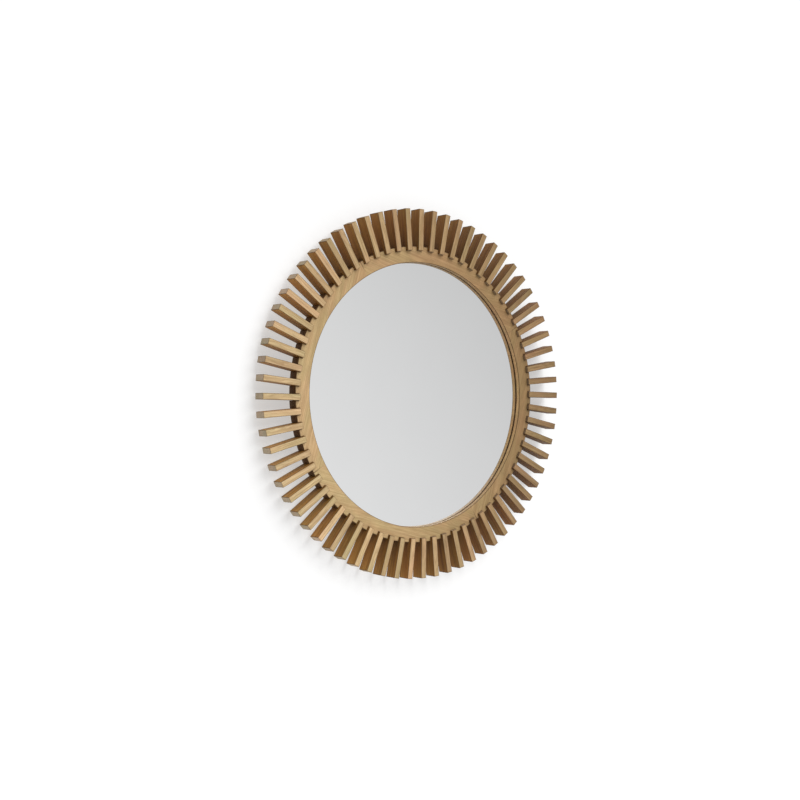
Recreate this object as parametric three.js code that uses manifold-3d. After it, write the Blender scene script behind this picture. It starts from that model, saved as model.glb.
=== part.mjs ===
// Round wall mirror with a sunburst frame. A flat wooden ring, glued up from four curved lengths,
// holds a mirror glass and a backing board in its back. Boards stand on edge all round it like rays,
// each let into a slot in the ring's outer rim. A bevelled cleat on the backing board hangs it.
// Millimetres. X is right and Z is up as seen from the front, and Y points at the wall.
// The origin is the middle of the cleat's rear face, which lies against the wall.
import * as THREE from "three";
import { mergeVertices } from "three/addons/utils/BufferGeometryUtils.js";
import Module from "manifold-3d";

// Ring
const ringInnerRadius = 329;
const ringWidth = 39;
const ringThickness = 28;
const ringSegments = 4;
const ringArris = 0.8; // small flat on the ring's front edges

// Slats, the boards that stand out like rays
const slatsPerSegment = 17;
const slatThickness = 15;
const slatReach = 92; // length of slat that shows beyond the ring's rim
const slatProud = 6.5; // how far a slat's front edge stands in front of the ring
const slatArris = 0.7;
const slotDepth = 9.5; // how far a slat goes into the rim
const slatsBeforeFirstJoint = 6; // slats from three o'clock up to the first joint in the ring
const gluedEvery = 4; // every fourth slat is modelled in one with its length of ring
const gluedFirst = 2;

// Mirror glass and backing board, in two steps cut into the ring's back
const glassSetBack = 14; // from the ring's front to the face of the glass
const glassThickness = 4;
const glassLap = 8; // how far the glass reaches behind the ring's lip
const glassArris = 0.5;
const boardLap = 9; // how far the board reaches past the edge of the glass
const boardArris = 1;

// Hanging cleat and the spacer that keeps the mirror upright on the wall
const cleatLength = 360;
const cleatHeight = 60;
const cleatThickness = 12;
const cleatAboveCentre = 190;
const cleatArris = 1;
const spacerLength = 140;
const spacerHeight = 36;
const spacerFromRim = 116; // from the board's lower edge up to the middle of the spacer

// Fits
const touchGap = 0.3; // between faces that meet
const slotClearance = 0.3; // on each side of a slat in its slot
const edgeClearance = 1; // round the rims of the glass and the board

// Worked out from the sizes above
const ringOuterRadius = ringInnerRadius + ringWidth;
const slatCount = ringSegments * slatsPerSegment;
const slatPitch = (2 * Math.PI) / slatCount;
const slatDepth = ringThickness + slatProud;
const slatInnerRadius = ringOuterRadius - slotDepth;
const slatTipRadius = ringOuterRadius + slatReach;
const glassRadius = ringInnerRadius + glassLap;
const boardRadius = glassRadius + boardLap;
const boardThickness = ringThickness - glassSetBack - glassThickness - 2 * touchGap;
const spacerBelowCentre = boardRadius - spacerFromRim;
const facets = 2 * slatCount; // flats round each circle
const margin = 5; // how far a cutting shape runs past what it cuts

// Places along Y, from the wall forwards, and the ring's centre
const ringBackY = -cleatThickness - touchGap;
const ringFrontY = ringBackY - ringThickness;
const slatFrontY = ringFrontY - slatProud;
const glassFrontY = ringFrontY + glassSetBack;
const boardFrontY = glassFrontY + glassThickness + touchGap;
const centreZ = -cleatAboveCentre;

const wasm = await Module();
wasm.setup();

// A closed three.js geometry as a solid that can be cut and joined.
function solidOf(geometry) {
  const bare = geometry.clone();
  bare.deleteAttribute("normal");
  bare.deleteAttribute("uv");
  const merged = mergeVertices(bare, 1e-4);
  return new wasm.Manifold(
    new wasm.Mesh({
      numProp: 3,
      vertProperties: merged.attributes.position.array,
      triVerts: new Uint32Array(merged.index.array),
    }),
  );
}

// A cut or joined solid as a three.js geometry with flat faces.
function geometryOf(solid) {
  const mesh = solid.getMesh();
  const positions = new Float32Array(mesh.numVert * 3);
  for (let i = 0; i < mesh.numVert; i++) {
    const start = i * mesh.numProp;
    positions.set(mesh.vertProperties.subarray(start, start + 3), i * 3);
  }
  const indexed = new THREE.BufferGeometry();
  indexed.setAttribute("position", new THREE.BufferAttribute(positions, 3));
  indexed.setIndex(new THREE.BufferAttribute(new Uint32Array(mesh.triVerts), 1));
  const flat = indexed.toNonIndexed();
  flat.computeVertexNormals();
  return flat;
}

// A rectangle with its four corners cut off, from two opposite corners.
function easedRectangle(low, high, arris) {
  const [x0, y0] = low;
  const [x1, y1] = high;
  return new THREE.Shape([
    new THREE.Vector2(x0 + arris, y0),
    new THREE.Vector2(x1 - arris, y0),
    new THREE.Vector2(x1, y0 + arris),
    new THREE.Vector2(x1, y1 - arris),
    new THREE.Vector2(x1 - arris, y1),
    new THREE.Vector2(x0 + arris, y1),
    new THREE.Vector2(x0, y1 - arris),
    new THREE.Vector2(x0, y0 + arris),
  ]);
}

// A section drawn in Z and Y, run along X between two stations.
function runAlongX(section, fromX, toX) {
  const geometry = new THREE.ExtrudeGeometry(section, { depth: toX - fromX, bevelEnabled: false });
  geometry.rotateY(Math.PI / 2); // the section's own x becomes -Z, and its run becomes X
  geometry.translate(fromX, 0, 0);
  return geometry;
}

// A closed outline of [radius, y] points turned about the mirror's axis.
function turned(outline) {
  const points = outline.map(([radius, y]) => new THREE.Vector2(radius, y));
  return new THREE.LatheGeometry(points, facets);
}

function slatAngle(number) {
  return number * slatPitch;
}

// Turns a geometry drawn along +X so that it points at an angle, counted from +X towards +Z.
function pointedAt(geometry, angle) {
  return geometry.clone().rotateY(-angle);
}

// One slat along +X, about the ring's centre.
function slatGeometry() {
  const half = slatThickness / 2;
  const section = easedRectangle([-half, slatFrontY], [half, slatFrontY + slatDepth], slatArris);
  return runAlongX(section, slatInnerRadius, slatTipRadius);
}

// The slot that a slat stands in, open at the rim, the front and the back of the ring.
function slotGeometry() {
  const fromX = slatInnerRadius - touchGap;
  const toX = ringOuterRadius + margin;
  const width = slatThickness + 2 * slotClearance;
  const geometry = new THREE.BoxGeometry(toX - fromX, ringThickness + 2 * margin, width);
  geometry.translate((fromX + toX) / 2, ringBackY - ringThickness / 2, 0);
  return geometry;
}

// The whole ring in the round, with the steps for the glass and the board in its back.
function ringBlank() {
  const glassStepRadius = glassRadius + edgeClearance;
  const boardStepRadius = boardRadius + edgeClearance;
  const glassStepY = glassFrontY - touchGap;
  const boardStepY = boardFrontY - touchGap;
  return solidOf(
    turned([
      [ringInnerRadius, glassStepY],
      [ringInnerRadius, ringFrontY + ringArris],
      [ringInnerRadius + ringArris, ringFrontY],
      [ringOuterRadius - ringArris, ringFrontY],
      [ringOuterRadius, ringFrontY + ringArris],
      [ringOuterRadius, ringBackY],
      [boardStepRadius, ringBackY],
      [boardStepRadius, boardStepY],
      [glassStepRadius, boardStepY],
      [glassStepRadius, glassStepY],
      [ringInnerRadius, glassStepY],
    ]),
  );
}

// A wedge about the axis that takes one length out of the ring, half a gap short at each joint.
function wedge(fromAngle, toAngle) {
  const half = (toAngle - fromAngle) / 2;
  const middle = fromAngle + half;
  const apexRadius = touchGap / 2 / Math.sin(half);
  const apex = [apexRadius * Math.cos(middle), apexRadius * Math.sin(middle)];
  const steps = 6;
  const farRadius = 2 * ringOuterRadius;
  const points = [new THREE.Vector2(...apex)];
  for (let i = 0; i <= steps; i++) {
    const angle = fromAngle + (2 * half * i) / steps;
    const x = apex[0] + farRadius * Math.cos(angle);
    const z = apex[1] + farRadius * Math.sin(angle);
    points.push(new THREE.Vector2(x, z));
  }
  const depth = ringThickness + 2 * margin;
  const geometry = new THREE.ExtrudeGeometry(new THREE.Shape(points), { depth, bevelEnabled: false });
  geometry.rotateX(Math.PI / 2); // the outline's own y becomes Z, and its depth becomes -Y
  geometry.translate(0, ringBackY + margin, 0);
  return solidOf(geometry);
}

function isGlued(place) {
  return place % gluedEvery === gluedFirst;
}

// One length of the ring, slotted for its loose slats and in one with its glued ones.
function ringSegment(blank, segment) {
  const firstSlat = slatsBeforeFirstJoint + segment * slatsPerSegment;
  const fromAngle = slatAngle(firstSlat - 0.5);
  const toAngle = slatAngle(firstSlat + slatsPerSegment - 0.5);
  let solid = blank.intersect(wedge(fromAngle, toAngle));
  for (let place = 0; place < slatsPerSegment; place++) {
    const angle = slatAngle(firstSlat + place);
    if (isGlued(place)) {
      solid = solid.add(solidOf(pointedAt(slatGeometry(), angle)));
    } else {
      solid = solid.subtract(solidOf(pointedAt(slotGeometry(), angle)));
    }
  }
  return geometryOf(solid);
}

function glassGeometry() {
  const backY = glassFrontY + glassThickness;
  return turned([
    [0, glassFrontY],
    [glassRadius - glassArris, glassFrontY],
    [glassRadius, glassFrontY + glassArris],
    [glassRadius, backY - glassArris],
    [glassRadius - glassArris, backY],
    [0, backY],
  ]);
}

function boardGeometry() {
  const backY = boardFrontY + boardThickness;
  return turned([
    [0, boardFrontY],
    [boardRadius, boardFrontY],
    [boardRadius, backY - boardArris],
    [boardRadius - boardArris, backY],
    [0, backY],
  ]);
}

// The cleat's lower edge slopes up towards the board, so that it hooks over a bar on the wall.
// The section's x is drawn upside down, because running it along X turns x into -Z.
function cleatGeometry() {
  const top = -cleatHeight / 2;
  const bottom = cleatHeight / 2;
  const section = new THREE.Shape([
    new THREE.Vector2(top + cleatArris, -cleatThickness),
    new THREE.Vector2(bottom - cleatThickness, -cleatThickness),
    new THREE.Vector2(bottom, 0),
    new THREE.Vector2(top + cleatArris, 0),
    new THREE.Vector2(top, -cleatArris),
    new THREE.Vector2(top, -cleatThickness + cleatArris),
  ]);
  return runAlongX(section, -cleatLength / 2, cleatLength / 2);
}

function spacerGeometry() {
  const half = spacerHeight / 2;
  const section = easedRectangle([-half, -cleatThickness], [half, 0], cleatArris);
  return runAlongX(section, -spacerLength / 2, spacerLength / 2);
}

function finish(color, roughness, metalness) {
  return new THREE.MeshStandardMaterial({ color, roughness, metalness });
}

const mirror = new THREE.Group();

function place(name, geometry, material, height) {
  const mesh = new THREE.Mesh(geometry, material);
  mesh.name = name;
  mesh.position.z = height;
  mirror.add(mesh);
  return mesh;
}

// Ring and slats
const blank = ringBlank();
for (let segment = 0; segment < ringSegments; segment++) {
  const name = `ring_length_${segment + 1}`;
  place(name, ringSegment(blank, segment), finish(0xab8e67, 0.55, 0), centreZ);
}

const looseSlat = slatGeometry();
for (let segment = 0; segment < ringSegments; segment++) {
  for (let inSegment = 0; inSegment < slatsPerSegment; inSegment++) {
    if (isGlued(inSegment)) continue;
    const number = slatsBeforeFirstJoint + segment * slatsPerSegment + inSegment;
    const name = `slat_${String((number % slatCount) + 1).padStart(2, "0")}`;
    const slat = place(name, looseSlat, finish(0xb8966b, 0.6, 0), centreZ);
    slat.rotation.y = -slatAngle(number);
  }
}

// Glass and back
place("mirror_glass", glassGeometry(), finish(0xd4d7d8, 0.03, 1), centreZ);
place("backing_board", boardGeometry(), finish(0x8a6a48, 0.75, 0), centreZ);
place("hanging_cleat", cleatGeometry(), finish(0x9c7b52, 0.7, 0), 0);
place("wall_spacer", spacerGeometry(), finish(0x9c7b52, 0.7, 0), centreZ - spacerBelowCentre);

export default mirror;
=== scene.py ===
import math
import random
import bmesh
import bpy
from mathutils import Matrix, Vector


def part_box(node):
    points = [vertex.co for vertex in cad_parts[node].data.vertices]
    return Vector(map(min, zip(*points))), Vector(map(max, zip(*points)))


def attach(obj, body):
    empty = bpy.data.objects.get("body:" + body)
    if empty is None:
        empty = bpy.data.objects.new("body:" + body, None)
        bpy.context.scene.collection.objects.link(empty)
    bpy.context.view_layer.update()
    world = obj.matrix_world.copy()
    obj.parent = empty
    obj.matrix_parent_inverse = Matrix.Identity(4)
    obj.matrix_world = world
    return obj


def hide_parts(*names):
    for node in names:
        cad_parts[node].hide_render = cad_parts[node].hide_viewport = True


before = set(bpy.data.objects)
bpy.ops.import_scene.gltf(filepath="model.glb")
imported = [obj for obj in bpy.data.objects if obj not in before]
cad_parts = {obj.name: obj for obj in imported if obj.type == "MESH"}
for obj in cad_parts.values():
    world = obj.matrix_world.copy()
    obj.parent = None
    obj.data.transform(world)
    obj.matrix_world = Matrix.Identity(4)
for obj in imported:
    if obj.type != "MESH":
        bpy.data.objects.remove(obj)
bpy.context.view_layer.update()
dice = random.Random(68)

# What the frame says: the slat at three o'clock lies along X, so its box gives a slat's sizes
slatLow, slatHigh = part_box("slat_01")
glassLow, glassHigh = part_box("mirror_glass")
boardLow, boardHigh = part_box("backing_board")
cleatLow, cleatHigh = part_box("hanging_cleat")
spacerLow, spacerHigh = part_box("wall_spacer")
centreZ = (slatLow[2] + slatHigh[2]) / 2
ringCentre = Vector((0, 0, centreZ))
slatCount = 68
slatPitch = 2 * math.pi / slatCount

creaseAngle = math.radians(30)  # edges sharper than this stay crisp
arrisSegments = 2
squareOn = 0.999  # a face whose normal has this much of an axis looks along it
closeBy = 0.001  # a corner this near to an edge or a wall is taken as lying on it
skin = 0.00015  # a corner this near to a face takes that face's painted shade


# Small helpers for modelling

def onlyThis(piece):
    bpy.ops.object.select_all(action="DESELECT")
    piece.select_set(True)
    bpy.context.view_layer.objects.active = piece


def startEditing(piece, mode="FACE"):
    onlyThis(piece)
    bpy.ops.object.mode_set(mode="EDIT")
    bpy.ops.mesh.select_mode(type=mode)
    bpy.ops.mesh.select_all(action="DESELECT")


def stopEditing():
    bpy.ops.object.mode_set(mode="OBJECT")


def selectFaces(piece, wanted):
    shape = bmesh.from_edit_mesh(piece.data)
    for face in shape.faces:
        face.select_set(wanted(face))
    bmesh.update_edit_mesh(piece.data)


def settle(piece):  # puts the object's own place, turn and size into its mesh
    onlyThis(piece)
    bpy.ops.object.transform_apply(location=True, rotation=True, scale=True)


def boxPiece(name, low, high):
    low, high = Vector(low), Vector(high)
    bpy.ops.mesh.primitive_cube_add(size=1, location=(low + high) / 2, scale=high - low)
    piece = bpy.context.object
    piece.name = name
    settle(piece)
    return piece


def copyPiece(piece, name, placement):
    copied = bpy.data.objects.new(name, piece.data.copy())
    copied.data.name = name
    copied.data.transform(placement)
    bpy.context.collection.objects.link(copied)
    return copied


def applyModifier(piece, kind, **settings):
    onlyThis(piece)
    modifier = piece.modifiers.new(kind.lower(), kind)
    for key, value in settings.items():
        setattr(modifier, key, value)
    bpy.ops.object.modifier_apply(modifier=modifier.name)


def cutWith(piece, cutter):
    applyModifier(piece, "BOOLEAN", operation="DIFFERENCE", solver="EXACT", object=cutter)


def throwAway(*pieces):
    for piece in pieces:
        bpy.data.objects.remove(piece, do_unlink=True)


def turnedTo(angle):  # carries what is drawn along +X to an angle round the ring's centre
    return Matrix.Translation(ringCentre) @ Matrix.Rotation(-angle, 4, "Y")


def smoothOver(piece):
    onlyThis(piece)
    bpy.ops.object.shade_smooth_by_angle(angle=creaseAngle)


def dress(piece, finish, slotName, *nodes):
    piece.data.materials.clear()
    piece.data.materials.append(finish)
    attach(piece, "root")
    if nodes:
        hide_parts(*nodes)


# Boards: each keeps its own place in the tree, along the grain first, in millimetres.
# Its painted shade layer says how far shade is painted on a corner, from 0 to 1.
stock = {
    "lightTrendTowards": math.radians(199),  # painted light: the left is made the palest
    "lightTrend": 0.34,
    "hueShift": (-0.035, 0.045, 0.12),  # and less red there
    "shadeTrendTowards": math.radians(338),  # painted shade: the lower right is made darker
    "shadeTrend": 0.27,
    "logLength": 2000,
    "nearHeart": 45,
    "farFromHeart": 110,
    "lightPlay": 0.5,
    "pinkest": 1,
    "leastPink": -0.8,
    "pinkRed": 0.3,
    "pinkBlue": 0.2,
    "endSharpness": 4,
}
millimetres = 1000  # to a metre
micrometres = 1000000


def markGrain(piece, toBoard, tintAt, paintedShadeAt, sideShadeMask):
    mesh = piece.data
    treeSpot = treePlace()
    mesh.attributes.new("grainSpot", "FLOAT_VECTOR", "POINT")
    mesh.attributes.new("boardTint", "FLOAT_VECTOR", "POINT")
    mesh.attributes.new("paintedShade", "FLOAT", "POINT")
    mesh.attributes.new("endGrain", "FLOAT", "FACE")
    mesh.attributes.new("sideways", "FLOAT", "FACE")
    layers = mesh.attributes
    for corner in mesh.vertices:
        place = toBoard @ corner.co
        layers["grainSpot"].data[corner.index].vector = place * millimetres + treeSpot
        # each corner's tint carries the board's own tone with the painted light and shade across
        # the mirror
        layers["boardTint"].data[corner.index].vector = litTint(tintAt(corner.co), corner.co)
        layers["paintedShade"].data[corner.index].value = paintedShadeAt(corner.co, place)
    turn = toBoard.to_3x3()
    for face in mesh.polygons:
        ends = abs((turn @ face.normal).x) ** stock["endSharpness"]
        layers["endGrain"].data[face.index].value = ends
        # sideways marks the faces that take painted shade and more streaks: every long side of a
        # slat, and on the ring only its outer wall
        side = (1 - abs(face.normal.y)) * (1 - ends)
        layers["sideways"].data[face.index].value = side * sideShadeMask(face.center)


def treePlace():  # a board comes from somewhere out from the heart of the tree
    out = dice.uniform(stock["nearHeart"], stock["farFromHeart"])
    turn = dice.uniform(0, 2 * math.pi)
    along = dice.uniform(0, stock["logLength"])
    return Vector((along, out * math.cos(turn), out * math.sin(turn)))


def boardTint(spread):
    light = 1 + dice.gauss(0, stock["lightPlay"]) * spread
    pink = dice.uniform(stock["leastPink"], stock["pinkest"]) * spread
    red = light * (1 + stock["pinkRed"] * pink)
    blue = light * (1 + stock["pinkBlue"] * pink)
    return Vector((red, light, blue))


def shareTowards(out, angle):
    return out.x * math.cos(angle) + out.z * math.sin(angle)


# painted light and shade: paler and less red towards the left, darker towards the lower right
def litTint(tint, where):
    out = (where - ringCentre) / slatHigh[0]
    litShare = shareTowards(out, stock["lightTrendTowards"])
    shadedShare = max(0, shareTowards(out, stock["shadeTrendTowards"]))
    light = (1 + stock["lightTrend"] * litShare) * (1 - stock["shadeTrend"] * shadedShare ** 2)
    return tint * (Vector((1, 1, 1)) + Vector(stock["hueShift"]) * litShare) * light


# Shader building: a signal is a node's output, and sums on signals add Math nodes

class Signal:
    def __init__(self, finish, socket):
        self.finish = finish
        self.socket = socket

    def math(self, operation, *values):
        return self.finish.add("ShaderNodeMath", {"operation": operation}, dict(enumerate(values)))

    def __add__(self, other):
        return self.math("ADD", self, other)

    def __radd__(self, other):
        return self.math("ADD", other, self)

    def __sub__(self, other):
        return self.math("SUBTRACT", self, other)

    def __rsub__(self, other):
        return self.math("SUBTRACT", other, self)

    def __mul__(self, other):
        return self.math("MULTIPLY", self, other)

    def __rmul__(self, other):
        return self.math("MULTIPLY", other, self)

    def __truediv__(self, other):
        return self.math("DIVIDE", self, other)

    def fraction(self):
        return self.math("FRACT", self)

    def offMiddle(self):  # how far a noise lies above or below its middle
        return self - 0.5

    def between(self, low, high):  # 0 at low, 1 at high, eased and held beyond them
        settings = {"interpolation_type": "SMOOTHSTEP"}
        return self.finish.add("ShaderNodeMapRange", settings, {0: self, 1: low, 2: high})


class Finish:
    def __init__(self, owner):
        self.owner = owner
        owner.use_nodes = True
        self.tree = owner.node_tree
        self.tree.nodes.clear()

    def add(self, kind, settings=None, inputs=None, output=0):
        node = self.tree.nodes.new(kind)
        for key, value in (settings or {}).items():
            setattr(node, key, value)
        for key, value in (inputs or {}).items():
            if isinstance(value, Signal):
                self.tree.links.new(value.socket, node.inputs[key])
            else:
                node.inputs[key].default_value = value
        return Signal(self, node.outputs[output] if output is not None else None)

    def attribute(self, name, output="Fac"):
        return self.add("ShaderNodeAttribute", {"attribute_name": name}, {}, output)

    def place(self, output="Object"):
        return self.add("ShaderNodeTexCoord", {}, {}, output)

    def stretched(self, vector, scale):
        return self.add("ShaderNodeVectorMath", {"operation": "MULTIPLY"}, {0: vector, 1: scale})

    def measured(self, operation, vectors):
        settings = {"operation": operation}
        return self.add("ShaderNodeVectorMath", settings, dict(enumerate(vectors)), "Value")

    def noise(self, vector, scale, detail=2.0, roughness=0.5, distortion=0.0):
        inputs = {"Vector": self.stretched(vector, scale), "Scale": 1.0, "Detail": detail}
        inputs.update({"Roughness": roughness, "Distortion": distortion})
        return self.add("ShaderNodeTexNoise", {}, inputs)

    def blend(self, factor, first, second, how="MIX"):
        settings = {"data_type": "RGBA", "blend_type": how}
        return self.add("ShaderNodeMix", settings, {0: factor, 6: first, 7: second}, 2)

    def tinted(self, colour, tint, factor=1.0):
        return self.blend(factor, colour, tint, "MULTIPLY")

    def grey(self, value):
        return self.add("ShaderNodeCombineXYZ", {}, {0: value, 1: value, 2: value})

    def bump(self, height, distance):
        inputs = {"Height": height, "Distance": distance, "Strength": 1.0}
        return self.add("ShaderNodeBump", {}, inputs)

    def surface(self, inputs):
        return self.add("ShaderNodeBsdfPrincipled", {}, inputs)

    def close(self, shader, kind="ShaderNodeOutputMaterial"):
        self.add(kind, {}, {"Surface": shader}, None)
        return self.owner


# Planed wood, stained and oiled. The figure is the same for slats and ring, and its scales are
# per millimetre: along the grain, and then twice across it.
figure = {
    "wanderNoise": {"scale": (0.006, 0.03, 0.03)},  # the growth rings drift to and fro
    "wanderReach": 9,  # counted in growth rings
    "rippleNoise": {"scale": (0.02, 0.16, 0.16)},
    "rippleReach": 0.9,
    "lateRise": (0.35, 0.93),  # a growth ring darkens slowly and ends at once
    "lateFall": (0.95, 1.0),
    "latePatchy": 0.6,
    "fibreNoise": {"scale": (0.014, 0.9, 0.9), "detail": 4.0, "roughness": 0.6},
    "fibreSpan": (0.3, 0.7),
    "streakNoise": {"scale": (0.004, 0.22, 0.22), "detail": 3.0, "roughness": 0.6},
    "streakSpan": (0.35, 0.75),
    "streakStrength": 0.5,
    "sideStreaks": 0.4,  # the broad sides are streaked more
    "patchNoise": {"scale": (0.03, 0.06, 0.06)},
    "patchContrast": 0.4,
    "poreNoise": {"scale": (0.07, 1.9, 1.9)},
    "poreSpan": (0.6, 0.74),
    "stainNoise": {"scale": (0.011, 0.04, 0.04)},
    "stainSpan": (0.3, 0.7),
    "reddish": (1.045, 0.985, 0.97, 1),
    "olive": (0.97, 1.01, 0.955, 1),
    "endStrength": 0.75,
    # the colour, patchiness and span of the painted shade
    "shadeTint": (0.06, 0.026, 0.01, 1),
    "shadePatchy": 0.25,
    "shadeSpan": (0.05, 1.0),
    "shadeStrength": 0.85,
    "roughness": 0.5,
    "fibreRough": 0.16,
    "poreRough": 0.12,
    "endRough": 0.15,
    "shadeRough": 0.15,
    "fibreRelief": 0.5,
    "lateRelief": 0.35,
    "poreRelief": 0.9,
    "reliefDepth": 0.00012,
    "sheen": 0.15,
}
slatLook = {
    "pale": (0.475, 0.338, 0.184, 1),
    "middle": (0.333, 0.223, 0.112, 1),
    "late": (0.218, 0.128, 0.055, 1),
    "endTint": (0.27, 0.205, 0.145, 1),
    "sideShadeTint": (0.89, 0.63, 0.25, 1),
    "ringSpacing": 3.4,
    "lateStrength": 0.55,
    "poreStrength": 0.6,
}
ringLook = {
    "pale": (0.44, 0.301, 0.157, 1),
    "middle": (0.33, 0.216, 0.102, 1),
    "late": (0.23, 0.14, 0.062, 1),
    "endTint": (0.29, 0.215, 0.155, 1),
    "sideShadeTint": (0.8, 0.6, 0.34, 1),
    "ringSpacing": 4.2,
    "lateStrength": 0.45,
    "poreStrength": 0.4,
}


def woodFinish(name, look):
    wood = Finish(bpy.data.materials.new(name))
    spot = wood.attribute("grainSpot", "Vector")
    tint = wood.attribute("boardTint", "Vector")
    endGrain = wood.attribute("endGrain")
    sideways = wood.attribute("sideways")
    paintedShade = wood.attribute("paintedShade")

    wander = wood.noise(spot, **figure["wanderNoise"]) * figure["wanderReach"]
    ripple = wood.noise(spot, **figure["rippleNoise"]) * figure["rippleReach"]
    fromHeart = wood.measured("LENGTH", [wood.stretched(spot, (0, 1, 1))])
    growth = (fromHeart / look["ringSpacing"] + wander + ripple).fraction()
    late = growth.between(*figure["lateRise"]) * (1 - growth.between(*figure["lateFall"]))
    fibres = wood.noise(spot, **figure["fibreNoise"])
    streaks = wood.noise(spot, **figure["streakNoise"]).between(*figure["streakSpan"])
    patches = wood.noise(spot, **figure["patchNoise"])
    pores = wood.noise(spot, **figure["poreNoise"]).between(*figure["poreSpan"])
    stain = wood.noise(spot, **figure["stainNoise"]).between(*figure["stainSpan"])

    streaked = streaks * (figure["streakStrength"] + figure["sideStreaks"] * sideways)
    banded = (1 - figure["latePatchy"]) + figure["latePatchy"] * patches
    colour = wood.blend(fibres.between(*figure["fibreSpan"]), look["pale"], look["middle"])
    colour = wood.blend(streaked, colour, look["late"])
    colour = wood.blend(late * look["lateStrength"] * banded, colour, look["late"])
    colour = wood.blend(pores * look["poreStrength"], colour, look["late"])
    colour = wood.blend(endGrain * figure["endStrength"], colour, look["endTint"])
    # the corner tint: the board's own tone with the painted light and shade across the mirror
    colour = wood.tinted(colour, tint)
    colour = wood.tinted(colour, wood.blend(stain, figure["reddish"], figure["olive"]))
    # painted shade: the faces between the slats and the ring's outer wall are made darker and more
    # saturated
    colour = wood.tinted(colour, look["sideShadeTint"], sideways)
    patched = (1 - figure["patchContrast"] / 2) + figure["patchContrast"] * patches
    colour = wood.tinted(colour, wood.grey(patched))
    # painted shade: the colour is darkened towards dark brown along arrises, on the slats' sides
    # and in the ring's hollows
    shadeAmount = paintedShade + figure["shadePatchy"] * patches.offMiddle() * paintedShade
    shadeAmount = shadeAmount.between(*figure["shadeSpan"]) * figure["shadeStrength"]
    colour = wood.blend(shadeAmount, colour, figure["shadeTint"])

    rough = figure["roughness"] + figure["fibreRough"] * fibres.offMiddle()
    rough = rough + figure["poreRough"] * pores
    rough = rough + figure["endRough"] * endGrain + figure["shadeRough"] * paintedShade
    relief = fibres * figure["fibreRelief"] + late * figure["lateRelief"]
    relief = relief - pores * figure["poreRelief"]
    return wood.close(wood.surface({
        "Base Color": colour, "Roughness": rough, "Specular IOR Level": figure["sheen"],
        "Normal": wood.bump(relief, figure["reliefDepth"]),
    }))


slatFinish = woodFinish("oiled slat wood", slatLook)
ringFinish = woodFinish("oiled ring wood", ringLook)
print("wood finish is ready")


# Slats: one is modelled along +X about the ring's centre, and copied round it
slat = {
    "arris": 0.0006,
    "arrisProfile": 0.6,
    "edgeShadeWidth": 0.0017,  # the band of painted shade that runs along every arris
    "stations": 8,
    "fingerTight": 0.0001,  # how far the outer end is kept inside the box that the frame gives
    "seatAt": 0.365,  # distance from the ring's centre at which a slat is held
    "jigLean": math.radians(1.86),  # the slots are sawn askew, so every slat leans clockwise
    "leanPlay": math.radians(0.35),
    "tipGap": 0.0003,
    "endPlay": 0.0009,
    "thicknessPlay": 0.02,
    "tintSpread": 0.15,
    "arrisShade": 0.85,
    "broadSideShade": 0.22,  # painted shade on the broad sides, which face each other across the narrow gaps
    "nookShade": 0.3,
    "nookReach": 0.05,  # how far out from the rim the painted shade on the sides is deeper
}
slatMiddle = Vector(((slatLow[0] + slatHigh[0]) / 2, (slatLow[1] + slatHigh[1]) / 2, 0))
slatHalf = (Vector(slatHigh) - Vector(slatLow)) / 2


def modelSlat():
    low = (slatLow[0], slatLow[1], slatLow[2] - centreZ)
    high = (slatHigh[0] - slat["fingerTight"], slatHigh[1], slatHigh[2] - centreZ)
    piece = boxPiece("slatPattern", low, high)
    startEditing(piece, "EDGE")
    bpy.ops.mesh.select_all(action="SELECT")
    bpy.ops.mesh.bevel(
        offset=slat["arris"], segments=arrisSegments, profile=slat["arrisProfile"],
        affect="EDGES",
    )
    bpy.ops.mesh.select_mode(type="FACE")
    selectFaces(piece, lambda face: max(abs(part) for part in face.normal) > squareOn)
    bpy.ops.mesh.inset(thickness=slat["edgeShadeWidth"], use_individual=True)
    for station in range(1, slat["stations"]):
        share = station / slat["stations"]
        bpy.ops.mesh.select_all(action="SELECT")
        where = (low[0] + (high[0] - low[0]) * share, 0, 0)
        bpy.ops.mesh.bisect(plane_co=where, plane_no=(1, 0, 0))
    stopEditing()
    return piece


# painted shade: a dark line along every arris, and darker broad sides, darkest near the rim
def slatPaintedShade(where, place):
    toFaces = sorted(slatHalf[axis] - abs(place[axis] - slatMiddle[axis]) for axis in range(3))
    arris = slat["arrisShade"] * max(0, 1 - max(0, toFaces[1]) / slat["edgeShadeWidth"])
    if slatHalf.z - abs(place.z) > skin:
        return arris
    nook = max(0, min(1, 1 - (place.x - ring["outerRadius"]) / slat["nookReach"]))
    return min(1, arris + slat["broadSideShade"] + slat["nookShade"] * nook)


def leaning(lean):
    seat = Vector((slat["seatAt"], 0, 0))
    return Matrix.Translation(seat) @ Matrix.Rotation(lean, 4, "Y") @ Matrix.Translation(-seat)


def seatedSlat(angle):  # set by hand, so each leans and stops a little differently
    lean = slat["jigLean"] + dice.uniform(-1, 1) * slat["leanPlay"]
    inwards = Matrix.Translation((-dice.uniform(0, 1) * slat["endPlay"] - slat["tipGap"], 0, 0))
    thickness = 1 - dice.uniform(0, 1) * slat["thicknessPlay"]
    planed = Matrix.Diagonal((1, 1, thickness, 1))
    return turnedTo(angle) @ leaning(lean) @ inwards @ planed


def makeSlats():
    pattern = modelSlat()
    for number in range(slatCount):
        placement = seatedSlat(number * slatPitch)
        piece = copyPiece(pattern, f"slatBoard{number + 1:02d}", placement)
        tint = boardTint(slat["tintSpread"])
        markGrain(piece, placement.inverted(), lambda where: tint, slatPaintedShade, lambda where: 1)
        smoothOver(piece)
        node = f"slat_{number + 1:02d}"
        dress(piece, slatFinish, "slat_wood", *([node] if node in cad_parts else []))
    throwAway(pattern)


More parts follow.
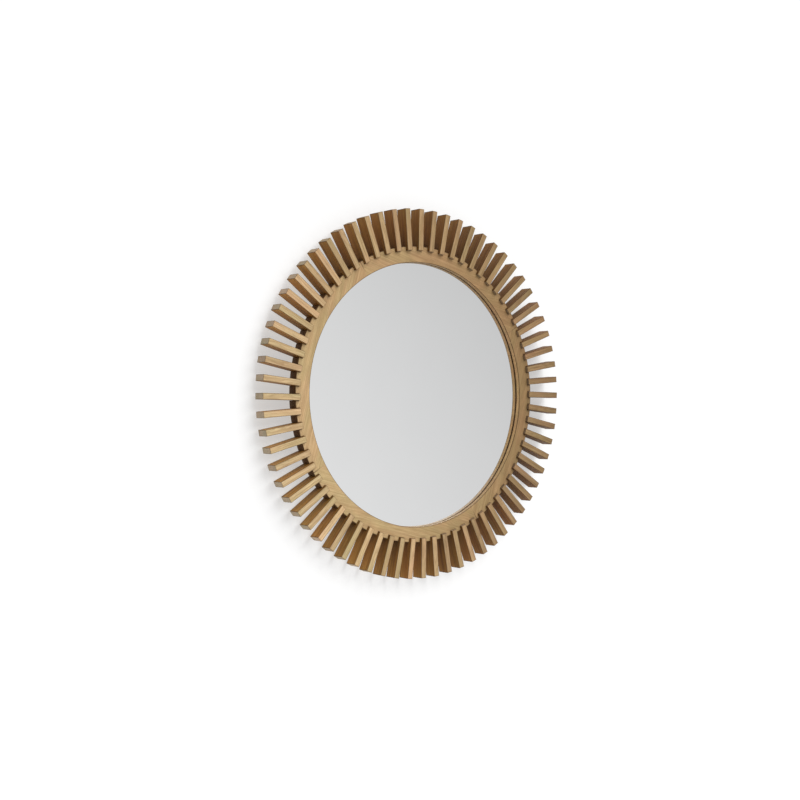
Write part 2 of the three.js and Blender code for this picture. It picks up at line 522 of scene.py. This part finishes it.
# Ring: a round loop is drawn out through its section, slotted, and sawn into four lengths
ring = {
    "innerRadius": 0.329,
    "outerRadius": 0.368,
    "slatProud": 0.0065,
    "fitGap": 0.0003,
    "edgeGap": 0.001,
    "footWidth": 0.0014,  # the lip's inner edge is eased where it meets the glass
    "footHeight": 0.0016,
    "lengths": 4,
    "firstJointAt": 5.5,  # in slats from three o'clock, so each joint falls between two slats
    "facetsPerSlat": 5,
    "jointGap": 0.00003,
    "sawTolerance": 1e-7,
    "slotClearance": 0.0003,
    "slotOvercut": 0.01,
    "arris": 0.0006,
    "bluntAngle": math.radians(40),  # only edges sharper than this are eased
    "tintSpread": 0.04,
    # painted shade: a band along the arrises, the outer wall between the slats, and a trace on the
    # back
    "edgeShadeWidth": 0.0017,
    "arrisShade": 0.8,
    "outerShade": 0.85,
    "outerBand": 0.02,
    "backShade": 0.15,
    "unshadedFrom": 0.0022,  # the inner wall has no painted shade from here to just short of the glass
    "unshadedTo": 0.0016,
    "unshadedShare": 0.9,
    "innerLight": 1.3,  # painted light: the inner wall is made paler, most at three o'clock, where light falls on it
    "innerLightSharpness": 3,
}
ringFrontY = slatLow[1] + ring["slatProud"]
ringBackY = slatHigh[1]
lipBackY = glassLow[1] - ring["fitGap"]
footY = lipBackY - ring["footHeight"]
plainFront = set()  # the corners within the border on the ring's face


def modelRing():
    glassStep = glassHigh[0] + ring["edgeGap"]
    boardStep = boardHigh[0] + ring["edgeGap"]
    boardStepY = boardLow[1] - ring["fitGap"]
    section = [
        (ring["innerRadius"] + ring["footWidth"], lipBackY),
        (ring["innerRadius"], footY),
        (ring["innerRadius"], footY - ring["unshadedTo"]),
        (ring["innerRadius"], ringFrontY + ring["unshadedFrom"]),
        (ring["innerRadius"], ringFrontY),
        (ring["outerRadius"], ringFrontY),
        (ring["outerRadius"], ringBackY),
        (boardStep, ringBackY),
        (boardStep, boardStepY),
        (glassStep, boardStepY),
        (glassStep, lipBackY),
    ]
    radius, y = section[0]
    bpy.ops.mesh.primitive_circle_add(
        vertices=slatCount * ring["facetsPerSlat"], radius=radius, fill_type="NOTHING",
        location=(0, y, centreZ), rotation=(math.pi / 2, 0, 0),
    )
    piece = bpy.context.object
    piece.name = "ringPattern"
    settle(piece)
    startEditing(piece, "EDGE")
    bpy.ops.mesh.select_all(action="SELECT")
    for nextRadius, nextY in section[1:]:
        bpy.ops.mesh.extrude_edges_move()
        wider = nextRadius / radius
        bpy.ops.transform.resize(value=(wider, 1, wider), center_override=(0, y, centreZ))
        bpy.ops.transform.translate(value=(0, nextY - y, 0))
        radius, y = nextRadius, nextY
    bpy.ops.mesh.select_all(action="DESELECT")
    bpy.ops.mesh.select_non_manifold()
    bpy.ops.mesh.bridge_edge_loops()
    bpy.ops.mesh.select_all(action="SELECT")
    bpy.ops.mesh.normals_make_consistent(inside=False)
    stopEditing()
    return piece


def modelSlotCutter():
    half = slatHalf.z + ring["slotClearance"]
    beyond = ring["slotOvercut"]
    low = (slatLow[0] - ring["slotClearance"], slatLow[1] - beyond, -half)
    high = (ring["outerRadius"] + beyond, slatHigh[1] + beyond, half)
    pattern = boxPiece("slotPattern", low, high)
    cutters = []
    for number in range(slatCount):
        placement = turnedTo(number * slatPitch) @ leaning(slat["jigLean"])
        cutters.append(copyPiece(pattern, f"slotCutter{number}", placement))
    throwAway(pattern)
    onlyThis(cutters[0])
    for cutter in cutters:
        cutter.select_set(True)
    bpy.ops.object.join()
    return cutters[0]


def sawAt(piece, angle, keepAbove):  # saws through the axis, and keeps one side
    side = 1 if keepAbove else -1
    across = Vector((-math.sin(angle), 0, math.cos(angle))) * side
    startEditing(piece)
    bpy.ops.mesh.select_all(action="SELECT")
    bpy.ops.mesh.bisect(
        plane_co=ringCentre + across * ring["jointGap"], plane_no=across,
        use_fill=True, clear_inner=True, threshold=ring["sawTolerance"],
    )
    stopEditing()


# painted shade: along the arrises of the face, at both ends of the inner wall, on the outer wall
# between the slats, and a trace on the back
def ringPaintedShade(where, place):
    radius = (where - ringCentre).xz.length
    band = ring["edgeShadeWidth"]
    if where.y < ringFrontY + skin:
        within = ring["innerRadius"] + band < radius < slatLow[0] - band
        return 0 if within or roundedSpot(where) in plainFront else ring["arrisShade"]
    if where.y > ringBackY - skin:
        return ring["backShade"]
    if outerSide(where):
        return ring["outerShade"]
    return 0 if unshadedWall(where) else ring["arrisShade"]


def unshadedWall(where):
    low = ringFrontY + ring["unshadedFrom"] * ring["unshadedShare"]
    high = footY - ring["unshadedTo"] * ring["unshadedShare"]
    onWall = (where - ringCentre).xz.length < ring["innerRadius"] + closeBy
    return low < where.y < high and onWall


# painted light: the unshaded inner wall is made paler where it faces the light, most at three
# o'clock
def innerWallLight(where):
    if not unshadedWall(where):
        return 1
    rightwards = max(0, (where - ringCentre).normalized().x)
    return 1 + ring["innerLight"] * rightwards ** ring["innerLightSharpness"]


def outerSide(where):
    return (where - ringCentre).xz.length > ring["outerRadius"] - ring["outerBand"]


def roundedSpot(where):
    return tuple(round(part * micrometres) for part in where)


def insetFront(piece):  # leaves a narrow border on the ring's face, and notes what is within it
    startEditing(piece)
    selectFaces(piece, lambda face: face.normal.y < -squareOn)
    bpy.ops.mesh.inset(thickness=ring["edgeShadeWidth"])
    shape = bmesh.from_edit_mesh(piece.data)
    plainFront.update(roundedSpot(corner.co) for corner in shape.verts if corner.select)
    stopEditing()


def makeRing():
    pattern = modelRing()
    slotCutter = modelSlotCutter()
    cutWith(pattern, slotCutter)
    applyModifier(
        pattern, "BEVEL", width=ring["arris"], segments=arrisSegments, limit_method="ANGLE",
        angle_limit=ring["bluntAngle"], use_clamp_overlap=True,
    )
    insetFront(pattern)
    perLength = slatCount // ring["lengths"]
    for length in range(ring["lengths"]):
        fromAngle = (ring["firstJointAt"] + length * perLength) * slatPitch
        toAngle = fromAngle + perLength * slatPitch
        middle = (fromAngle + toAngle) / 2
        piece = copyPiece(pattern, f"ringLength{length + 1}", Matrix.Identity(4))
        sawAt(piece, fromAngle, True)
        sawAt(piece, toAngle, False)
        toBoard = turnedTo(middle - math.pi / 2).inverted()
        tint = boardTint(ring["tintSpread"])
        markGrain(piece, toBoard, lambda where: tint * innerWallLight(where), ringPaintedShade, outerSide)
        smoothOver(piece)
        dress(piece, ringFinish, "ring_wood", f"ring_length_{length + 1}")
    throwAway(pattern, slotCutter)


makeSlats()
print("slats are set round the ring:", slatCount)
makeRing()
print("ring is slotted and sawn")


# Mirror glass: silvered plate, with the faintest unevenness
glassLook = {
    "clear": (0.915, 0.92, 0.925, 1),
    "hazy": (0.935, 0.94, 0.94, 1),
    "hazeNoise": {"scale": (9, 9, 9)},
    "waveNoise": {"scale": (2.5, 2.5, 2.5), "detail": 1.0},
    "waveDepth": 0.00004,
    "roughness": 0.012,
    "hazeRough": 0.012,
}


def glassFinish():
    glass = Finish(bpy.data.materials.new("silvered glass"))
    place = glass.place()
    haze = glass.noise(place, **glassLook["hazeNoise"])
    wave = glass.noise(place, **glassLook["waveNoise"])
    return glass.close(glass.surface({
        "Base Color": glass.blend(haze, glassLook["clear"], glassLook["hazy"]),
        "Metallic": 1.0, "Roughness": glassLook["roughness"] + glassLook["hazeRough"] * haze,
        "Normal": glass.bump(wave, glassLook["waveDepth"]),
    }))


# Backing board, cleat and spacer: bare ply, whose veneers show as stripes on its edges
plyLook = {
    "pale": (0.5, 0.34, 0.19, 1),
    "middle": (0.4, 0.25, 0.125, 1),
    "figure": (0.31, 0.18, 0.085, 1),
    "pore": (0.2, 0.11, 0.05, 1),
    "veneer": (0.22, 0.125, 0.06, 1),
    "grainNoise": {"scale": (4, 120, 60), "detail": 4.0, "roughness": 0.6, "distortion": 0.4},
    "grainSpan": (0.3, 0.7),
    "figureNoise": {"scale": (1.6, 30, 9), "detail": 3.0, "distortion": 1.4},
    "figureSpan": (0.45, 0.7),
    "figureStrength": 0.5,
    "poreNoise": {"scale": (60, 900, 900)},
    "poreSpan": (0.62, 0.75),
    "poreStrength": 0.3,
    "veneerPair": 0.0024,
    "veneerStart": 0.35,
    "veneerWaver": 0.08,
    "veneerRise": (0.5, 0.56),
    "veneerFall": (0.94, 1.0),
    "veneerStrength": 0.6,
    "roughness": 0.7,
    "grainRough": 0.1,
    "relief": 0.6,
    "reliefDepth": 0.00015,
}


def plyFinish():
    ply = Finish(bpy.data.materials.new("bare birch ply"))
    place = ply.place()
    grain = ply.noise(place, **plyLook["grainNoise"])
    cathedral = ply.noise(place, **plyLook["figureNoise"])
    pores = ply.noise(place, **plyLook["poreNoise"]).between(*plyLook["poreSpan"])
    depth = ply.add("ShaderNodeSeparateXYZ", {}, {0: place}, 1)
    waver = plyLook["veneerWaver"] * grain.offMiddle()
    veneer = (depth / plyLook["veneerPair"] + plyLook["veneerStart"] + waver).fraction()
    across = veneer.between(*plyLook["veneerRise"]) * (1 - veneer.between(*plyLook["veneerFall"]))
    figured = cathedral.between(*plyLook["figureSpan"]) * plyLook["figureStrength"]
    colour = ply.blend(grain.between(*plyLook["grainSpan"]), plyLook["pale"], plyLook["middle"])
    colour = ply.blend(figured, colour, plyLook["figure"])
    colour = ply.blend(pores * plyLook["poreStrength"], colour, plyLook["pore"])
    colour = ply.blend(across * plyLook["veneerStrength"], colour, plyLook["veneer"])
    relief = grain * plyLook["relief"] - pores * plyLook["relief"]
    return ply.close(ply.surface({
        "Base Color": colour,
        "Roughness": plyLook["roughness"] + plyLook["grainRough"] * grain.offMiddle(),
        "Normal": ply.bump(relief, plyLook["reliefDepth"]),
    }))


zincLook = {
    "bright": (0.66, 0.64, 0.6, 1),
    "dull": (0.5, 0.49, 0.47, 1),
    "blotchNoise": {"scale": (420, 420, 420), "detail": 3.0, "roughness": 0.6},
    "blotchSpan": (0.35, 0.7),
    "blotchRough": 0.15,
    "scuffNoise": {"scale": (1500, 1500, 1500)},
    "scuffSpan": (0.55, 0.75),
    "scuffRough": 0.2,
    "scuffRelief": 0.4,
    "reliefDepth": 0.00004,
    "roughness": 0.3,
}


def zincFinish():
    plating = Finish(bpy.data.materials.new("zinc plated steel"))
    place = plating.place()
    blotch = plating.noise(place, **zincLook["blotchNoise"])
    scuff = plating.noise(place, **zincLook["scuffNoise"]).between(*zincLook["scuffSpan"])
    dulled = blotch.between(*zincLook["blotchSpan"])
    rough = zincLook["roughness"] + zincLook["blotchRough"] * blotch
    relief = blotch - scuff * zincLook["scuffRelief"]
    return plating.close(plating.surface({
        "Base Color": plating.blend(dulled, zincLook["bright"], zincLook["dull"]),
        "Metallic": 1.0, "Roughness": rough + zincLook["scuffRough"] * scuff,
        "Normal": plating.bump(relief, zincLook["reliefDepth"]),
    }))


plywood = plyFinish()
zinc = zincFinish()
for node, finish in (("mirror_glass", glassFinish()), ("backing_board", plywood)):
    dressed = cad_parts[node]
    dressed.data.materials.clear()
    dressed.data.materials.append(finish)


# Back: the cleat and the spacer hold by sunk screws, and the board by round heads along its rim
fixing = {
    "arris": 0.0008,
    "sinkRadius": 0.0044,
    "sinkDepth": 0.0034,
    "sinkOvercut": 0.0002,
    "shankRadius": 0.0014,
    "shankGap": 0.0002,
    "headRadius": 0.0039,
    "headInset": 0.0003,
    "headHeight": 0.0019,
    "headRound": 0.0012,
    "headSegments": 4,
    "headProfile": 0.5,
    "facets": 24,
    "crossLength": 0.0042,
    "crossWidth": 0.0009,
    "crossDepth": 0.0011,
    "crossOvercut": 0.001,
    "cleatAcross": (-0.15, -0.05, 0.05, 0.15),
    "cleatUp": 0.006,
    "spacerAcross": (-0.045, 0.045),
    "boardScrews": 12,
    "firstBoardScrew": 0.5,  # in gaps between two screws, from three o'clock
    "boardReach": 0.3415,
}


def conePiece(name, frontRadius, frontY, backRadius, backY):  # lies along Y
    bpy.ops.mesh.primitive_cone_add(
        vertices=fixing["facets"], radius1=frontRadius, radius2=backRadius, depth=backY - frontY,
        location=(0, (frontY + backY) / 2, 0), rotation=(-math.pi / 2, 0, 0),
    )
    piece = bpy.context.object
    piece.name = name
    settle(piece)
    return piece


def cutCross(piece, top):  # the driver's recess, in a head whose face lies at y = top
    long, wide = fixing["crossLength"] / 2, fixing["crossWidth"] / 2
    for across, up in ((long, wide), (wide, long)):
        low = (-across, top - fixing["crossDepth"], -up)
        cutter = boxPiece("crossCutter", low, (across, top + fixing["crossOvercut"], up))
        cutWith(piece, cutter)
        throwAway(cutter)


def modelSunkScrew():
    top = -fixing["headInset"]
    foot = fixing["shankGap"] - fixing["sinkDepth"]
    piece = conePiece("sunkPattern", fixing["shankRadius"], foot, fixing["headRadius"], top)
    cutCross(piece, top)
    return piece


def modelRoundScrew():
    radius, height = fixing["headRadius"], fixing["headHeight"]
    piece = conePiece("roundPattern", radius, 0, radius, height)
    startEditing(piece)
    selectFaces(piece, lambda face: face.normal.y > squareOn)
    bpy.ops.mesh.bevel(
        offset=fixing["headRound"], segments=fixing["headSegments"],
        profile=fixing["headProfile"], affect="EDGES",
    )
    stopEditing()
    cutCross(piece, height)
    return piece


def roundArrises(piece):
    applyModifier(
        piece, "BEVEL", width=fixing["arris"], segments=arrisSegments, limit_method="ANGLE",
        angle_limit=creaseAngle,
    )


def sinkHoles(piece, spots):
    slope = (fixing["sinkRadius"] - fixing["shankRadius"]) / fixing["sinkDepth"]
    beyond = fixing["sinkOvercut"]
    wide = fixing["sinkRadius"] + slope * beyond
    pattern = conePiece("holePattern", fixing["shankRadius"], -fixing["sinkDepth"], wide, beyond)
    for spot in spots:
        cutter = copyPiece(pattern, "holeCutter", Matrix.Translation(spot))
        cutWith(piece, cutter)
        throwAway(cutter)
    throwAway(pattern)
    smoothOver(piece)


def modelCleat():
    piece = boxPiece("cleatBar", cleatLow, cleatHigh)
    startEditing(piece, "VERT")
    shape = bmesh.from_edit_mesh(piece.data)
    for corner in shape.verts:
        low = corner.co.z < cleatLow[2] + closeBy
        front = corner.co.y < cleatLow[1] + closeBy
        corner.select_set(low and front)
    shape.select_flush_mode()
    bmesh.update_edit_mesh(piece.data)
    thickness = cleatHigh[1] - cleatLow[1]
    bpy.ops.transform.translate(value=(0, 0, thickness))  # the hooking edge, at 45 degrees
    stopEditing()
    roundArrises(piece)
    return piece


def placeScrews(pattern, name, spots):
    for number, spot in enumerate(spots):
        turn = Matrix.Rotation(dice.uniform(0, math.pi), 4, "Y")
        piece = copyPiece(pattern, f"{name}{number + 1}", Matrix.Translation(spot) @ turn)
        smoothOver(piece)
        piece.data.materials.append(zinc)
        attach(piece, "root")
    throwAway(pattern)


def makeBack():
    cleat = modelCleat()
    cleatSpots = [Vector((across, 0, fixing["cleatUp"])) for across in fixing["cleatAcross"]]
    sinkHoles(cleat, cleatSpots)
    dress(cleat, plywood, "cleat_wood", "hanging_cleat")
    spacer = boxPiece("spacerBar", spacerLow, spacerHigh)
    roundArrises(spacer)
    spacerUp = (spacerLow[2] + spacerHigh[2]) / 2
    spacerSpots = [Vector((across, 0, spacerUp)) for across in fixing["spacerAcross"]]
    sinkHoles(spacer, spacerSpots)
    dress(spacer, plywood, "cleat_wood", "wall_spacer")
    placeScrews(modelSunkScrew(), "sunkScrew", cleatSpots + spacerSpots)
    rim = []
    for number in range(fixing["boardScrews"]):
        share = (number + fixing["firstBoardScrew"]) / fixing["boardScrews"]
        around = Matrix.Rotation(2 * math.pi * share, 4, "Y")
        rim.append(ringCentre + around @ Vector((fixing["boardReach"], boardHigh[1], 0)))
    placeScrews(modelRoundScrew(), "boardScrew", rim)


makeBack()
print("glass and back are finished")


# Stage: a pale wall behind, seen only from the front, and a pale floor far below. The wall has a
# hole in it behind the mirror, so that the back can be looked at.
studio = {
    "wallY": 0.0006,
    "wallSize": 7.0,
    "holeRadius": 0.33,
    "holeFacets": 96,
    "floorY": -2,
    "floorZ": -1.7,
    "wallColour": (0.45, 0.45, 0.45, 1),
    "wallGlow": 0.45,
    "wallRough": 0.9,
    "mottleNoise": {"scale": (30, 30, 30), "detail": 3.0, "roughness": 0.6},
    "mottleDepth": 0.0001,
    "dimSide": 0.58,
    "brightSide": 1.1,
    "brightWay": (0.277, -0.93, -0.2375),  # where the glass looks, at a pale wall
    "brightFrom": 0.76,
    "brightTo": 1.03,
    "keyTurn": math.radians(27),  # the key light stands to the right of the front, and high
    "keyRise": math.radians(43),
    "keySpread": math.radians(54),
    "keyStrength": 3.1,
    "keyHeight": 3,
}


def wallFinish():
    paint = Finish(bpy.data.materials.new("pale wall paint"))
    mottle = paint.noise(paint.place(), **studio["mottleNoise"])
    front = paint.surface({
        "Base Color": studio["wallColour"], "Roughness": studio["wallRough"],
        "Specular IOR Level": 0.0, "Normal": paint.bump(mottle, studio["mottleDepth"]),
        "Emission Color": (1, 1, 1, 1), "Emission Strength": studio["wallGlow"],
    })
    clear = paint.add("ShaderNodeBsdfTransparent")
    behind = paint.add("ShaderNodeNewGeometry", {}, {}, "Backfacing")
    return paint.close(paint.add("ShaderNodeMixShader", {}, {0: behind, 1: front, 2: clear}))


def modelWall():
    middle = (0, studio["wallY"], centreZ)
    bpy.ops.mesh.primitive_circle_add(
        vertices=studio["holeFacets"], radius=studio["holeRadius"], fill_type="NOTHING",
        location=middle, rotation=(math.pi / 2, 0, 0),
    )
    wall = bpy.context.object
    wall.name = "wall"
    settle(wall)
    startEditing(wall, "EDGE")
    bpy.ops.mesh.select_all(action="SELECT")
    bpy.ops.mesh.extrude_edges_move()
    wider = studio["wallSize"] / 2 / studio["holeRadius"]
    bpy.ops.transform.resize(value=(wider, 1, wider), center_override=middle)
    bpy.ops.mesh.select_all(action="SELECT")
    bpy.ops.mesh.normals_make_consistent(inside=False)
    stopEditing()
    if wall.data.polygons[0].normal.y > 0:
        wall.data.flip_normals()
    wall.data.materials.append(wallFinish())


def modelFloor():
    where = (0, studio["floorY"], studio["floorZ"])
    bpy.ops.mesh.primitive_plane_add(size=studio["wallSize"], location=where)
    floor = bpy.context.object
    floor.name = "floor"
    settle(floor)
    floor.data.materials.append(wallFinish())


def addKeyLight():
    turn, rise = studio["keyTurn"], studio["keyRise"]
    level = math.cos(rise)
    towards = Vector((math.sin(turn) * level, -math.cos(turn) * level, math.sin(rise)))
    bpy.ops.object.light_add(type="SUN", location=(0, 0, studio["keyHeight"]))
    light = bpy.context.object
    light.name = "keyLight"
    light.data.angle = studio["keySpread"]
    light.data.energy = studio["keyStrength"]
    light.rotation_euler = towards.to_track_quat("Z", "Y").to_euler()


def lightRoom():  # dim all round, and brighter the way the glass looks
    world = bpy.data.worlds.new("studio air")
    air = Finish(world)
    toWindow = Vector(studio["brightWay"]).normalized()
    facing = air.measured("DOT_PRODUCT", [air.place("Generated"), toWindow])
    more = studio["brightSide"] - studio["dimSide"]
    bright = studio["dimSide"] + more * facing.between(studio["brightFrom"], studio["brightTo"])
    air.close(air.add("ShaderNodeBackground", {}, {"Strength": bright}), "ShaderNodeOutputWorld")
    bpy.context.scene.world = world


modelWall()
modelFloor()
lightRoom()
addKeyLight()
bpy.context.scene.view_settings.view_transform = "Standard"


# Camera: where the photographer stood, from the fitted view of the ring's axis
shot = {
    "azimuth": math.radians(37.561),
    "elevation": math.radians(0.024),
    "roll": math.radians(-0.665),
    "distance": 3.167,
    "focalPixels": 1266,
    "imageSize": 800,
    "sensorWidth": 36,
    "centrePixel": (423.7, 395.9),  # where the ring's axis meets the slats' front edges
    "opticalCentre": (400, 493.9),  # the photo was cropped from the top half of a taller one
}


def addCamera():
    azimuth, elevation = shot["azimuth"], shot["elevation"]
    level = math.cos(elevation)
    back = Vector((-math.sin(azimuth) * level, -math.cos(azimuth) * level, math.sin(elevation)))
    aim = ringCentre + Vector((0, slatLow[1], 0))
    right = (-back).cross(Vector((0, 0, 1))).normalized()
    up = right.cross(-back)
    half = shot["imageSize"] / 2
    yaw = math.atan2(shot["centrePixel"][0] - shot["opticalCentre"][0], shot["focalPixels"])
    pitch = math.atan2(shot["opticalCentre"][1] - shot["centrePixel"][1], shot["focalPixels"])
    looking = Matrix((right, up, back)).transposed()
    turn = Matrix.Rotation(yaw, 3, "Y") @ Matrix.Rotation(-pitch, 3, "X")
    turn = turn @ Matrix.Rotation(shot["roll"], 3, "Z")
    bpy.ops.object.camera_add(location=aim + back * shot["distance"])
    camera = bpy.context.object
    camera.name = "camera"
    camera.rotation_euler = (looking @ turn).to_euler()
    camera.data.sensor_width = shot["sensorWidth"]
    camera.data.lens = shot["focalPixels"] / shot["imageSize"] * shot["sensorWidth"]
    camera.data.shift_x = (half - shot["opticalCentre"][0]) / shot["imageSize"]
    camera.data.shift_y = (shot["opticalCentre"][1] - half) / shot["imageSize"]
    bpy.context.scene.camera = camera


addCamera()
print("camera and studio are set")
